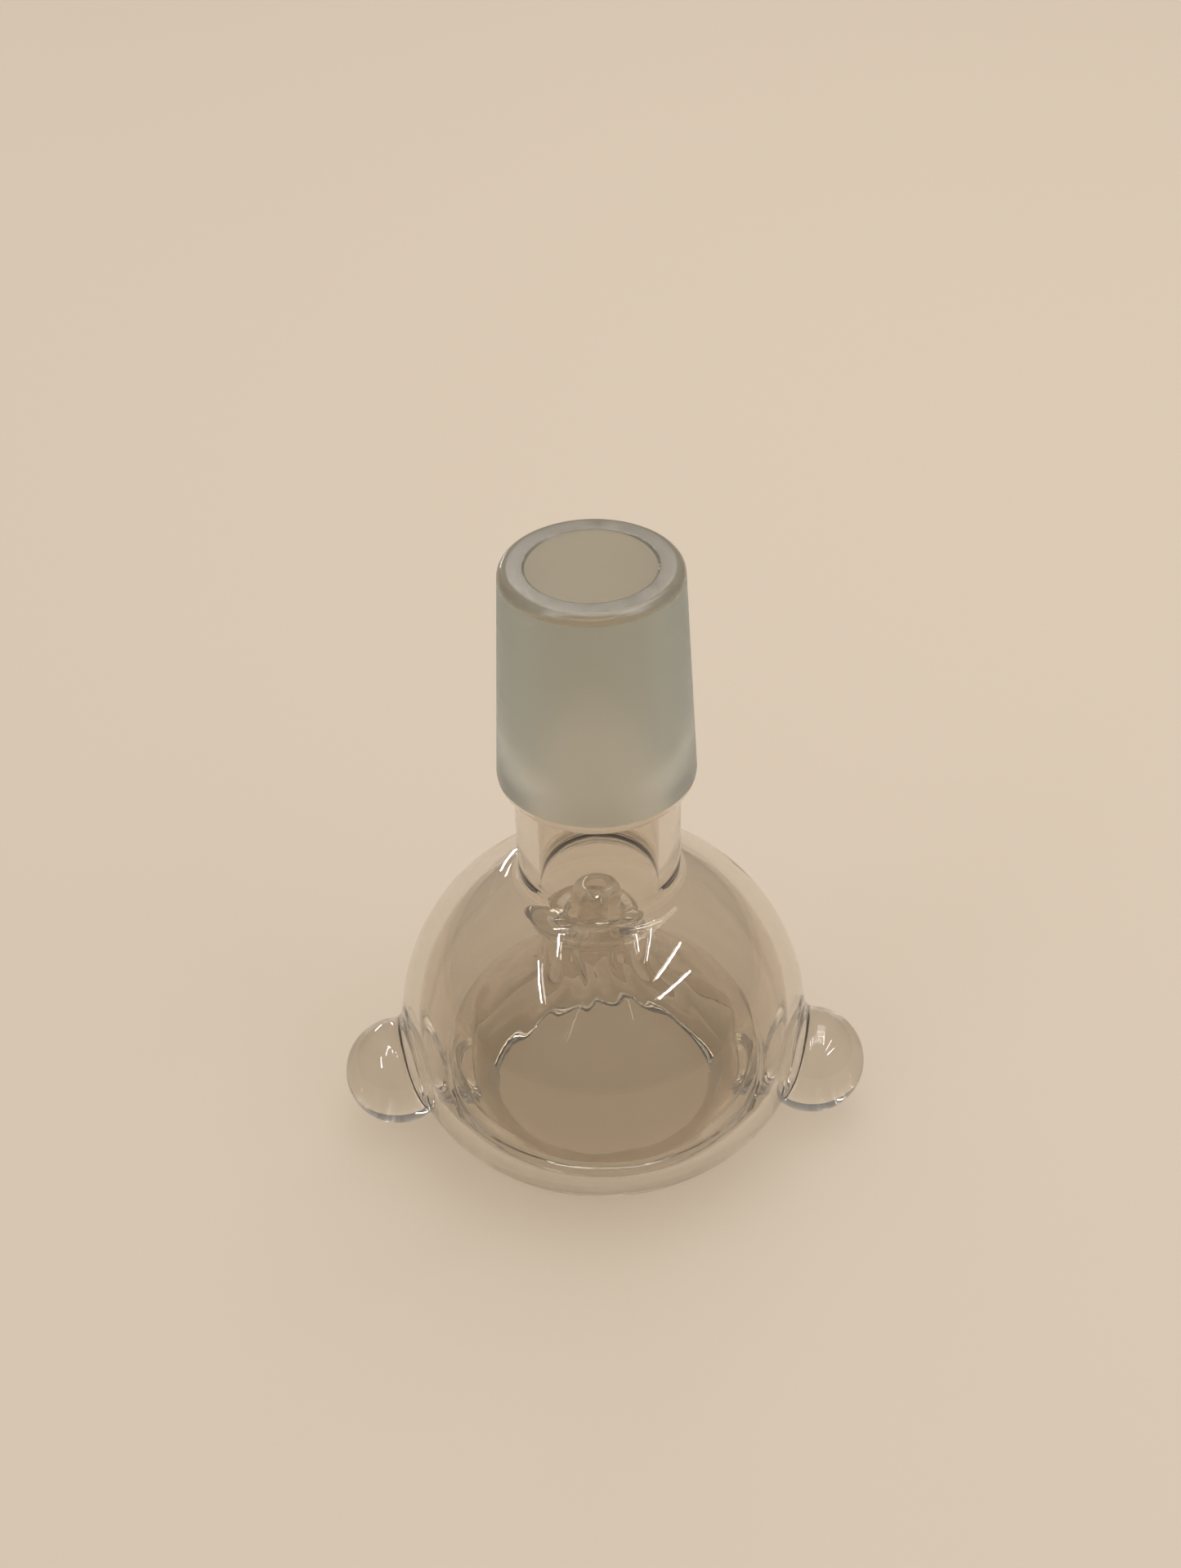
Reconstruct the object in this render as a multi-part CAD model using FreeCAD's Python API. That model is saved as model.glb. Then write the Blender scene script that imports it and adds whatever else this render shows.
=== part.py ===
import FreeCAD, Part
import os
from math import acos, asin, atan2, cos, degrees, radians, sin, sqrt, tan

# A lampworked borosilicate glass bowl with a male ground taper joint.
# It stands on its folded rim, mouth down, with the ground joint pointing up.
# Origin: the centre of the rim circle that touches the table. +Z runs up the joint's axis,
# +X runs towards the right marble, and the marbles are set slightly towards -Y.
# Every glass piece was fused to its neighbour in the flame, so the pieces meet face to face.
# Profiles are drawn in the (radius, height) half plane and turned about the Z axis.

# Standard taper 19/22: 18.8 mm at the large end, 22 mm long, 1 mm of diameter in 10 mm.
JOINT_LARGE_D = 18.8
JOINT_LENGTH = 22.0
JOINT_TAPER = 0.1
TIP_ROUND = 0.9
SHOULDER_HEIGHT = 2.0
SHOULDER_ROUND = 1.5

# Neck tube and its seal to the bulb.
NECK_D = 15.8
BORE_D = 11.7
NECK_LENGTH = 10.2
SEAL_FILLET = 2.0
SEAL_MOUTH_DROP = 0.2

# Blown bulb: a sphere above its equator and a tighter arc below it.
BULB_D = 41.4
BULB_WALL = 1.8
LOWER_ARC = 11.9

# Folded rim, the part that touches the table.
RIM_D = 26.6
RIM_FLAT = 0.6
RIM_ROUND = 2.4
LIP_ROUND = 1.6
RIM_HEIGHT = 5.0
FOLD_DEPTH = 1.0

# Cup pushed in from the mouth: a round bowl, a 45 degree cone and a narrow throat.
JACKET_GAP = 0.7
CUP_ARC = 9.0
CUP_WALL = 2.3
CONE_ANGLE = 45.0
THROAT_D = 9.8
THROAT_SWEEP = 6.0

# Pinched collar that closes the throat, and the outlet nipple on it.
COLLAR_HEIGHT = 3.2
COLLAR_BEAD = 1.5
COLLAR_PROUD = 0.5
COLLAR_PLATE = 1.5
COLLAR_INNER_ROUND = 0.7
NIPPLE_D = 4.9
NIPPLE_HEIGHT = 3.2
NIPPLE_ROUND = 1.0
HOLE_D = 2.0

# Solid glass marbles, one each side, and the welds that carry them. Each weld's axis is
# square to the bulb's wall, and the weld is a concave fillet that leaves the ball smoothly.
MARBLE_D = 10.9
MARBLE_OUT = 0.8
MARBLE_TURN = 6.5
MARBLE_CLEARANCE = 0.2
WELD_THICKNESS = 0.55
WELD_FILLET = 2.6
WELD_FLARE = 45.0
WELD_DEPTH = 5.5


def at(r, z):
    """A point of the half plane: radius r, height z."""
    return FreeCAD.Vector(r, 0, z)


def on_circle(centre, radius, angle):
    """The point at an angle in degrees, from outwards (0) towards up (90)."""
    a = radians(angle)
    return at(centre.x + radius * cos(a), centre.z + radius * sin(a))


def line(start, end):
    return Part.LineSegment(start, end).toShape()


def arc(centre, radius, first, last):
    """Circular edge about a centre, from one angle to another, in degrees."""
    ends = [on_circle(centre, radius, a) for a in (first, (first + last) / 2, last)]
    return Part.Arc(*ends).toShape()


def turned(edges):
    """Solid of revolution of a closed outline about the Z axis."""
    wire = Part.Wire(Part.__sortEdges__(edges))
    solid = Part.Face(wire).revolve(at(0, 0), FreeCAD.Vector(0, 0, 1), 360)
    return solid if solid.Volume > 0 else solid.reversed()


# Bulb levels, from the rim upwards.
bulb_r = BULB_D / 2
waist_r = bulb_r - LOWER_ARC
rim_centre = at(RIM_D / 2 + RIM_FLAT / 2, RIM_ROUND)
lip_centre = at(RIM_D / 2 - RIM_FLAT / 2, LIP_ROUND)
equator_z = RIM_ROUND + sqrt((LOWER_ARC - RIM_ROUND) ** 2 - (rim_centre.x - waist_r) ** 2)
dome_centre = at(0, equator_z)
waist_centre = at(waist_r, equator_z)
rim_tangent = degrees(atan2(rim_centre.z - equator_z, rim_centre.x - waist_r))

# Where the rim's flat land cuts the bulb's wall.
land_outer = degrees(asin((RIM_HEIGHT - equator_z) / LOWER_ARC))
land_inner = degrees(asin((RIM_HEIGHT - equator_z) / (LOWER_ARC - BULB_WALL)))
land_outer_point = on_circle(waist_centre, LOWER_ARC, land_outer)
land_inner_point = on_circle(waist_centre, LOWER_ARC - BULB_WALL, land_inner)

# Cup: its wall is one offset of the other all the way up.
cup_r = land_inner_point.x - JACKET_GAP
cup_centre = at(cup_r - CUP_ARC, RIM_HEIGHT)
throat_r = THROAT_D / 2
throat_bore_r = throat_r - CUP_WALL
cone_foot = on_circle(cup_centre, CUP_ARC, CONE_ANGLE)
sweep_r = throat_r + THROAT_SWEEP
sweep_foot_r = sweep_r - THROAT_SWEEP * cos(radians(CONE_ANGLE))
cone_rise = (cone_foot.x - sweep_foot_r) / tan(radians(CONE_ANGLE))
sweep_centre = at(sweep_r, cone_foot.z + cone_rise + THROAT_SWEEP * sin(radians(CONE_ANGLE)))
throat_z = sweep_centre.z
collar_top = throat_z + COLLAR_HEIGHT
nipple_top = collar_top + NIPPLE_HEIGHT
hole_r = HOLE_D / 2

# Neck seal and joint levels.
neck_r = NECK_D / 2
bore_r = BORE_D / 2
seal_z = equator_z + sqrt((bulb_r + SEAL_FILLET) ** 2 - (neck_r + SEAL_FILLET) ** 2)
seal_centre = at(neck_r + SEAL_FILLET, seal_z)
seal_angle = degrees(acos(seal_centre.x / (bulb_r + SEAL_FILLET)))
inner_dome_r = bulb_r - BULB_WALL
mouth_z = seal_z - SEAL_MOUTH_DROP
mouth_rise = mouth_z - equator_z
mouth_round = (mouth_rise**2 + bore_r**2 - inner_dome_r**2) / (2 * (inner_dome_r - bore_r))
mouth_centre = at(bore_r + mouth_round, mouth_z)
mouth_angle = degrees(acos(mouth_centre.x / (inner_dome_r + mouth_round)))
shoulder_z = seal_z + NECK_LENGTH
joint_z = shoulder_z + SHOULDER_HEIGHT
tip_z = joint_z + JOINT_LENGTH


# Marbles: the weld's axis runs from the ball's centre to the centre of the lower arc.
marble_r = MARBLE_D / 2
marble_centre = at(bulb_r + MARBLE_OUT, marble_r + MARBLE_CLEARANCE)
weld_axis = waist_centre - marble_centre
weld_start = weld_axis.Length - LOWER_ARC - WELD_THICKNESS


def cup_rim():
    """Folded lip: bulb wall and cup wall run together into one solid ring."""
    lip_r = lip_centre.x - LIP_ROUND
    inner_r = cup_r - CUP_WALL
    inward = inner_r - lip_r
    rise = RIM_HEIGHT - LIP_ROUND
    s_radius = (inward**2 + rise**2) / (4 * inward)
    s_angle = 2 * degrees(atan2(inward, rise))
    groove_r = (land_inner_point.x - cup_r) / 2
    groove_centre = at(cup_r + groove_r, RIM_HEIGHT - FOLD_DEPTH + groove_r)
    return turned(
        [
            arc(waist_centre, LOWER_ARC, land_outer, rim_tangent),
            arc(rim_centre, RIM_ROUND, rim_tangent, -90),
            line(at(rim_centre.x, 0), at(lip_centre.x, 0)),
            arc(lip_centre, LIP_ROUND, -90, -180),
            arc(at(lip_r + s_radius, LIP_ROUND), s_radius, 180, 180 - s_angle),
            arc(at(inner_r - s_radius, RIM_HEIGHT), s_radius, -s_angle, 0),
            line(at(inner_r, RIM_HEIGHT), at(cup_r, RIM_HEIGHT)),
            line(at(cup_r, RIM_HEIGHT), at(cup_r, groove_centre.z)),
            arc(groove_centre, groove_r, -180, 0),
            line(at(land_inner_point.x, groove_centre.z), land_inner_point),
            line(land_inner_point, land_outer_point),
        ]
    )


def outer_bulb():
    """Blown wall of even thickness, from the rim's land to the neck seal."""
    return turned(
        [
            line(land_inner_point, land_outer_point),
            arc(waist_centre, LOWER_ARC, land_outer, 0),
            arc(dome_centre, bulb_r, 0, seal_angle),
            line(
                on_circle(dome_centre, bulb_r, seal_angle),
                on_circle(dome_centre, inner_dome_r, seal_angle),
            ),
            arc(dome_centre, inner_dome_r, seal_angle, 0),
            arc(waist_centre, LOWER_ARC - BULB_WALL, 0, land_inner),
        ]
    )


def inner_cup():
    """Cup wall: bowl, cone and the sweep into the throat."""
    steep = 180 + CONE_ANGLE
    inner = CUP_ARC - CUP_WALL
    wide = THROAT_SWEEP + CUP_WALL
    return turned(
        [
            line(at(cup_r - CUP_WALL, RIM_HEIGHT), at(cup_r, RIM_HEIGHT)),
            arc(cup_centre, CUP_ARC, 0, CONE_ANGLE),
            line(cone_foot, on_circle(sweep_centre, THROAT_SWEEP, steep)),
            arc(sweep_centre, THROAT_SWEEP, steep, 180),
            line(at(throat_r, throat_z), at(throat_bore_r, throat_z)),
            arc(sweep_centre, wide, 180, steep),
            line(on_circle(sweep_centre, wide, steep), on_circle(cup_centre, inner, CONE_ANGLE)),
            arc(cup_centre, inner, CONE_ANGLE, 0),
        ]
    )


def throat_collar():
    """Bead that closes the throat, leaving the outlet hole."""
    bead = at(throat_r + COLLAR_PROUD - COLLAR_BEAD, collar_top - COLLAR_BEAD)
    crease = degrees(acos((COLLAR_BEAD - COLLAR_PROUD) / COLLAR_BEAD))
    under_z = collar_top - COLLAR_PLATE
    corner = at(throat_bore_r - COLLAR_INNER_ROUND, under_z - COLLAR_INNER_ROUND)
    return turned(
        [
            line(at(throat_bore_r, throat_z), at(throat_r, throat_z)),
            line(at(throat_r, throat_z), on_circle(bead, COLLAR_BEAD, -crease)),
            arc(bead, COLLAR_BEAD, -crease, 90),
            line(at(bead.x, collar_top), at(hole_r, collar_top)),
            line(at(hole_r, collar_top), at(hole_r, under_z)),
            line(at(hole_r, under_z), at(corner.x, under_z)),
            arc(corner, COLLAR_INNER_ROUND, 90, 0),
            line(at(throat_bore_r, corner.z), at(throat_bore_r, throat_z)),
        ]
    )


def outlet_nipple():
    """Short round-ended spout on the collar, open through its middle."""
    outer_r = NIPPLE_D / 2
    edge = at(outer_r - NIPPLE_ROUND, nipple_top - NIPPLE_ROUND)
    return turned(
        [
            line(at(hole_r, collar_top), at(outer_r, collar_top)),
            line(at(outer_r, collar_top), at(outer_r, edge.z)),
            arc(edge, NIPPLE_ROUND, 0, 90),
            line(at(edge.x, nipple_top), at(hole_r, nipple_top)),
            line(at(hole_r, nipple_top), at(hole_r, collar_top)),
        ]
    )


def neck_seal():
    """Ring of melted glass between the bulb and the neck, filleted outside and in."""
    return turned(
        [
            arc(mouth_centre, mouth_round, 180, 180 + mouth_angle),
            arc(dome_centre, inner_dome_r, mouth_angle, seal_angle),
            line(
                on_circle(dome_centre, inner_dome_r, seal_angle),
                on_circle(dome_centre, bulb_r, seal_angle),
            ),
            arc(seal_centre, SEAL_FILLET, 180 + seal_angle, 180),
            line(at(neck_r, seal_z), at(bore_r, seal_z)),
            line(at(bore_r, seal_z), at(bore_r, mouth_z)),
        ]
    )


def neck_tube():
    """Plain heavy-wall tube between the bulb and the joint."""
    return turned(
        [
            line(at(bore_r, seal_z), at(neck_r, seal_z)),
            line(at(neck_r, seal_z), at(neck_r, shoulder_z)),
            line(at(neck_r, shoulder_z), at(bore_r, shoulder_z)),
            line(at(bore_r, shoulder_z), at(bore_r, seal_z)),
        ]
    )


def ground_joint():
    """Male taper joint with its rounded clear shoulder and a rounded tip."""
    large_r = JOINT_LARGE_D / 2
    round_z = tip_z - TIP_ROUND
    tip_r = large_r - JOINT_TAPER / 2 * (round_z - joint_z)
    edge = at(tip_r - TIP_ROUND, round_z)
    swell = large_r - neck_r
    bend = 2 * degrees(atan2(swell, SHOULDER_HEIGHT))
    hollow = SHOULDER_HEIGHT / sin(radians(bend)) - SHOULDER_ROUND
    return turned(
        [
            arc(at(neck_r + hollow, shoulder_z), hollow, 180, 180 - bend),
            arc(at(large_r - SHOULDER_ROUND, joint_z), SHOULDER_ROUND, -bend, 0),
            line(at(large_r, joint_z), at(tip_r, round_z)),
            arc(edge, TIP_ROUND, 0, 90),
            line(at(edge.x, tip_z), at(bore_r, tip_z)),
            line(at(bore_r, tip_z), at(bore_r, shoulder_z)),
            line(at(bore_r, shoulder_z), at(neck_r, shoulder_z)),
        ]
    )


def bulb_body():
    """The bulb and rim as one filled body, used to shape what is fused on outside."""
    return turned(
        [
            line(at(0, 0), at(rim_centre.x, 0)),
            arc(rim_centre, RIM_ROUND, -90, rim_tangent),
            arc(waist_centre, LOWER_ARC, rim_tangent, 0),
            arc(dome_centre, bulb_r, 0, 90),
            line(at(0, equator_z + bulb_r), at(0, 0)),
        ]
    )


def placed(solid, side):
    """Move a solid from its own axis, Z, to a marble's centre and the weld's axis."""
    turn = FreeCAD.Rotation(at(0, 1), weld_axis)
    solid.Placement = FreeCAD.Placement(marble_centre, turn)
    swing = 180 + MARBLE_TURN if side < 0 else -MARBLE_TURN
    solid.rotate(at(0, 0), at(0, 1), swing)
    return solid


def marble(side):
    """Solid glass ball with the side that meets the weld cut flat."""
    flat = degrees(asin(weld_start / marble_r))
    edge = on_circle(at(0, 0), marble_r, flat)
    ball = turned(
        [
            arc(at(0, 0), marble_r, -90, flat),
            line(edge, at(0, weld_start)),
            line(at(0, weld_start), at(0, -marble_r)),
        ]
    )
    return placed(ball, side)


def marble_weld(side):
    """Melted glass between the marble's flat and the bulb, flared onto the wall."""
    flat = degrees(asin(weld_start / marble_r))
    fillet_centre = on_circle(at(0, 0), marble_r + WELD_FILLET, flat)
    neck = on_circle(at(0, 0), marble_r, flat)
    flare = on_circle(fillet_centre, WELD_FILLET, 180 - WELD_FLARE)
    foot = at(flare.x + (WELD_DEPTH - flare.z) * tan(radians(WELD_FLARE)), WELD_DEPTH)
    plug = turned(
        [
            line(at(0, weld_start), neck),
            arc(fillet_centre, WELD_FILLET, 180 + flat, 180 - WELD_FLARE),
            line(flare, foot),
            line(foot, at(0, WELD_DEPTH)),
            line(at(0, WELD_DEPTH), at(0, weld_start)),
        ]
    )
    return placed(plug, side).cut(bulb_body()).Solids[0]


PIECES = {
    "ground_joint": ground_joint(),
    "neck_tube": neck_tube(),
    "neck_seal": neck_seal(),
    "outer_bulb": outer_bulb(),
    "cup_rim": cup_rim(),
    "inner_cup": inner_cup(),
    "throat_collar": throat_collar(),
    "outlet_nipple": outlet_nipple(),
    "left_marble": marble(-1),
    "right_marble": marble(1),
    "left_marble_weld": marble_weld(-1),
    "right_marble_weld": marble_weld(1),
}

os.makedirs("parts", exist_ok=True)
for name, solid in PIECES.items():
    solid.exportStep(f"parts/{name}.step")
    box = solid.BoundBox
    print(
        f"{name:18s} valid {solid.isValid()} solids {len(solid.Solids)}"
        f" volume {solid.Volume:8.1f} z {box.ZMin:6.2f} to {box.ZMax:6.2f}"
    )
print(f"equator {equator_z:.3f} seal {seal_z:.3f} joint {joint_z:.3f} tip {tip_z:.3f} mouth {mouth_z:.3f}")
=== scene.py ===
# %% [markdown]
# # A lampworked glass bowl with a ground joint
# The real object is one piece of borosilicate glass that a lampworker fused from a dozen
# smaller ones: a joint blank, a neck tube, a blown bulb, a cup pushed into it, two marbles.
# Here each of those is its own closed mesh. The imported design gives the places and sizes,
# and this first cell loads it. Its box is kept, because the finished looks must fit inside.
# %% Load the design
from math import acos, asin, atan2, cos, degrees, pi, radians, sin, sqrt

import bpy
from mathutils import Matrix, Vector, noise


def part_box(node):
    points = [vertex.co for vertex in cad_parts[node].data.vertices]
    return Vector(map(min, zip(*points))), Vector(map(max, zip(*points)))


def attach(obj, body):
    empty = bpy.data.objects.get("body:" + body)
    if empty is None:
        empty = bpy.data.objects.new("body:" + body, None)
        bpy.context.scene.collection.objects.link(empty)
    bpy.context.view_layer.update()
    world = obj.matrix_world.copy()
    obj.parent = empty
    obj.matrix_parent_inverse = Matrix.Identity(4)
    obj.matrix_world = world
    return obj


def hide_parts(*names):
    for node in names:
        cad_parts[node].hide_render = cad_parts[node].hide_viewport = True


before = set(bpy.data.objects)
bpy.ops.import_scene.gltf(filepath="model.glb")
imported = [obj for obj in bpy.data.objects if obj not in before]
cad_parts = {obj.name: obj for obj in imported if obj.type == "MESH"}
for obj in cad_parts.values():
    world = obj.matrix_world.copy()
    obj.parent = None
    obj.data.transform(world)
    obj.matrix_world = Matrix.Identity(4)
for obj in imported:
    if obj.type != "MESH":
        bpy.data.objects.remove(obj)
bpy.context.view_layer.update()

MM = 0.001
print("design nodes:", sorted(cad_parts))

# %% [markdown]
# ## Levels
# Blender works in metres, while a glassblower thinks in millimetres, so lengths in this
# file are millimetres and are turned to metres only when they reach an operator. Heights and
# radii that the design settles are read from the boxes of its nodes. Only what a box can't
# tell, such as a wall's thickness or the radius of a weld, is a number written here.
# %% Read the levels from the design
def node_top(name):
    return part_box(name)[1].z / MM


def node_radius(name):
    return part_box(name)[1].x / MM


rim_z = node_top("cup_rim")
throat_z = node_top("inner_cup")
collar_z = node_top("throat_collar")
nipple_z = node_top("outlet_nipple")
seal_z = node_top("neck_seal")
shoulder_z = node_top("neck_tube")
tip_z = node_top("ground_joint")
bulb_r = node_radius("outer_bulb")
neck_r = node_radius("neck_tube")
cup_r = node_radius("inner_cup")
collar_r = node_radius("throat_collar")
nipple_r = node_radius("outlet_nipple")
joint_r = node_radius("ground_joint")

bulb_wall = 1.8
cup_wall = 2.3
bore_r = 5.85
hole_r = 1.0
print(f"rim {rim_z:.2f}, seal {seal_z:.2f}, shoulder {shoulder_z:.2f}, tip {tip_z:.2f} mm")

# %% [markdown]
# ## How turned glass is drawn
# Nearly everything here was shaped while it turned on a lathe or in the fingers, so Spin is
# the natural tool: half of the cross section is drawn as an outline beside the Z axis and
# swept once round it. The outline starts from a plane that is merged to one point, and is
# extruded point by point. Round stretches come from `bow`, which walks along an arc. A sphere
# or cylinder primitive would be quicker, but its wall would have no thickness, and thickness
# is most of what the eye reads in clear glass.
# %% Outline helpers
SPIN_STEPS = 176
STEP = 0.42
LEAST_STEPS = 4
EDGE_STEP = 0.02
EDGE_MOST = 0.2


def on_arc(centre, radius, angle):
    """The point (radius, height) of an arc, at an angle in degrees from outwards to up."""
    a = radians(angle)
    return (centre[0] + radius * cos(a), centre[1] + radius * sin(a))


def bow(centre, radius, first, last):
    """Points along an arc. The first and last steps are tiny, so that the smooth shading
    at each end already has the arc's true direction and two pieces meet without a line."""
    turn = last - first
    count = max(LEAST_STEPS, round(abs(radians(turn)) * radius / STEP))
    tiny = min(EDGE_MOST, EDGE_STEP / abs(radians(turn) * radius))
    shares = [0, tiny, *[k / count for k in range(1, count)], 1 - tiny, 1]
    return [on_arc(centre, radius, first + turn * share) for share in shares]


def run(start, end, step=1.2):
    """Evenly spaced points along a straight stretch."""
    length = sqrt((end[0] - start[0]) ** 2 + (end[1] - start[1]) ** 2)
    count = max(1, round(length / step))
    return [
        (
            start[0] + (end[0] - start[0]) * k / count,
            start[1] + (end[1] - start[1]) * k / count,
        )
        for k in range(count + 1)
    ]


def clear_selection():
    if bpy.context.mode != "OBJECT":
        bpy.ops.object.mode_set(mode="OBJECT")
    bpy.ops.object.select_all(action="DESELECT")


def choose(obj):
    clear_selection()
    obj.select_set(True)
    bpy.context.view_layer.objects.active = obj


# %% [markdown]
# The outline's two ends are joined by Make Edge, unless they are on the axis. It is then
# spun, and its doubles are merged where the last step meets the first. Merging comes before
# the normals are recalculated, because loose seams confuse that tool. Points on the axis
# merge into a pole in the same step.
# %% Turn an outline into a piece
ON_AXIS = 1e-6
SAME_PLACE = 2e-7


def turned(name, outline):
    """A closed solid of revolution from an outline of (radius, height) in millimetres."""
    points = [p for k, p in enumerate(outline) if k == 0 or p != outline[k - 1]]
    clear_selection()
    r, z = points[0]
    bpy.ops.mesh.primitive_plane_add(size=MM, location=(r * MM, 0, z * MM))
    piece = bpy.context.object
    piece.name = piece.data.name = name
    bpy.ops.object.transform_apply(location=True, rotation=False, scale=False)
    bpy.ops.object.mode_set(mode="EDIT")
    bpy.ops.mesh.select_mode(type="VERT")
    bpy.ops.mesh.merge(type="CENTER")
    for before, after in zip(points, points[1:]):
        step = ((after[0] - before[0]) * MM, 0, (after[1] - before[1]) * MM)
        bpy.ops.mesh.extrude_vertices_move(TRANSFORM_OT_translate={"value": step})
    bpy.ops.mesh.select_all(action="DESELECT")
    if points[0][0] > ON_AXIS:
        bpy.ops.object.mode_set(mode="OBJECT")
        piece.data.vertices[0].select = True
        piece.data.vertices[-1].select = True
        bpy.ops.object.mode_set(mode="EDIT")
        bpy.ops.mesh.edge_face_add()
    bpy.ops.mesh.select_all(action="SELECT")
    bpy.ops.mesh.spin(steps=SPIN_STEPS, angle=2 * pi, center=(0, 0, 0), axis=(0, 0, 1))
    bpy.ops.mesh.select_all(action="SELECT")
    bpy.ops.mesh.remove_doubles(threshold=SAME_PLACE)
    bpy.ops.mesh.normals_make_consistent(inside=False)
    bpy.ops.object.mode_set(mode="OBJECT")
    print(f"{name}: {len(points)} outline points, {len(piece.data.polygons)} faces")
    return piece


# %% [markdown]
# ## Bulb: a sphere that tightens towards the rim
# The bulb was blown as a ball, then its end was heated and pushed in, which pulled the lower
# wall into a tighter curve. So its section is two arcs: the dome's centre is on the axis, and
# the lower arc's centre sits out at `waist`. The inner wall is the same pair, thinner by the
# wall. Where the arcs end on the rim's flat land, Pythagoras gives the point.
# %% Shape the bulb
lower_arc = 11.9
rim_arc = 2.4
waist_r = bulb_r - lower_arc
land_r = node_radius("cup_rim")
equator_z = rim_z + sqrt(lower_arc**2 - (land_r - waist_r) ** 2)
waist = (waist_r, equator_z)
dome = (0, equator_z)
dome_inner = bulb_r - bulb_wall
seal_fillet = 2.0
seal_centre = (neck_r + seal_fillet, seal_z)
seal_angle = degrees(acos(seal_centre[0] / (bulb_r + seal_fillet)))
land_outer = degrees(asin((rim_z - equator_z) / lower_arc))
land_inner = degrees(asin((rim_z - equator_z) / (lower_arc - bulb_wall)))
groove_r = on_arc(waist, lower_arc - bulb_wall, land_inner)[0]

outer_bulb = turned(
    "outer_bulb_glass",
    bow(waist, lower_arc, land_outer, 0)
    + bow(dome, bulb_r, 0, seal_angle)
    + bow(dome, dome_inner, seal_angle, 0)
    + bow(waist, lower_arc - bulb_wall, 0, land_inner),
)

# %% [markdown]
# ## Rim: the fold that the bowl stands on
# The outer wall turns back on itself here and becomes the cup, and the two walls run
# together into one thick ring. The outline goes down the outside, round the foot, up the
# inside in a soft S, and across the land, where a narrow groove is the bottom of the space
# between the walls. A bevelled torus would be rounder, but it would miss that groove, which
# shows as a dark line through the glass.
# %% Shape the rim
foot_z = 0.0
rim_r = 13.3
foot_half = 0.3
lip_arc = 1.6
fold_depth = 1.0
rim_centre = (rim_r + foot_half, foot_z + rim_arc)
lip_centre = (rim_r - foot_half, foot_z + lip_arc)
rim_tangent = degrees(atan2(rim_centre[1] - equator_z, rim_centre[0] - waist_r))
lip_r = lip_centre[0] - lip_arc
inward = cup_r - cup_wall - lip_r
rise = rim_z - lip_centre[1]
s_arc = (inward**2 + rise**2) / (4 * inward)
s_turn = 2 * degrees(atan2(inward, rise))
groove_half = (groove_r - cup_r) / 2
groove = (cup_r + groove_half, rim_z - fold_depth + groove_half)

cup_rim = turned(
    "cup_rim_glass",
    bow(waist, lower_arc, land_outer, rim_tangent)
    + bow(rim_centre, rim_arc, rim_tangent, -90)
    + bow(lip_centre, lip_arc, -90, -180)
    + bow((lip_r + s_arc, lip_centre[1]), s_arc, 180, 180 - s_turn)
    + bow((cup_r - cup_wall - s_arc, rim_z), s_arc, -s_turn, 0)
    + [(cup_r, rim_z)]
    + bow(groove, groove_half, -180, 0)
    + [(groove_r, rim_z)],
)

# %% [markdown]
# ## Cup: pushed in from the mouth
# A graphite rod pushed the soft end of the bulb inwards. That leaves a round bowl, a straight
# cone and a sweep into the narrow throat, with a wall of one thickness. The cone is at 45
# degrees, so it is tangent to both arcs at their 45 degree points.
# %% Shape the cup
cup_arc = 9.0
cone = 45
throat_r = 4.9
throat_bore = throat_r - cup_wall
sweep_arc = 6.0
cup = (cup_r - cup_arc, rim_z)
sweep = (throat_r + sweep_arc, throat_z)


def cup_side(arc, sweep_radius, up):
    """One face of the cup's wall, as the points of its bowl, cone and sweep."""
    bowl = bow(cup, arc, 0, cone)
    neck = bow(sweep, sweep_radius, 180 + cone, 180)
    side = bowl + run(bowl[-1], neck[0])[1:-1] + neck
    return side if up else side[::-1]


inner_cup = turned(
    "inner_cup_glass",
    cup_side(cup_arc, sweep_arc, True)
    + cup_side(cup_arc - cup_wall, sweep_arc + cup_wall, False),
)

# %% [markdown]
# ## Collar and nipple: the pinched end of the throat
# The throat was closed by pinching it hot, which leaves a bead of thick glass, and a short
# spout with a fine hole was pulled from it. In the outline the bead is one arc with a small
# hollow arc under it, because molten glass never keeps a sharp inside corner. The spout's foot
# has such a hollow too.
# %% Shape the collar and the nipple
bead_arc = 1.5
crease_arc = 0.4
plate = 1.5
inner_round = 0.7
hole_round = 0.25
spout_foot = 0.6
spout_round = 1.0
bead = (collar_r - bead_arc, collar_z - bead_arc)
crease_rise = sqrt((bead_arc + crease_arc) ** 2 - (throat_r + crease_arc - bead[0]) ** 2)
crease = (throat_r + crease_arc, bead[1] - crease_rise)
crease_angle = degrees(atan2(crease_rise, crease[0] - bead[0]))
plate_under = collar_z - plate
spout_foot_r = nipple_r + spout_foot

throat_collar = turned(
    "throat_collar_glass",
    [(throat_bore, throat_z), (throat_r, throat_z)]
    + bow(crease, crease_arc, 180, 180 - crease_angle)
    + bow(bead, bead_arc, -crease_angle, 90)
    + [(spout_foot_r, collar_z), (hole_r, collar_z)]
    + bow((hole_r + hole_round, plate_under + hole_round), hole_round, 180, 270)
    + bow((throat_bore - inner_round, plate_under - inner_round), inner_round, 90, 0),
)

outlet_nipple = turned(
    "outlet_nipple_glass",
    [(hole_r, collar_z)]
    + bow((spout_foot_r, collar_z + spout_foot), spout_foot, -90, -180)
    + bow((nipple_r - spout_round, nipple_z - spout_round), spout_round, 0, 90)
    + bow((hole_r + hole_round, nipple_z - hole_round), hole_round, 90, 180),
)

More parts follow.
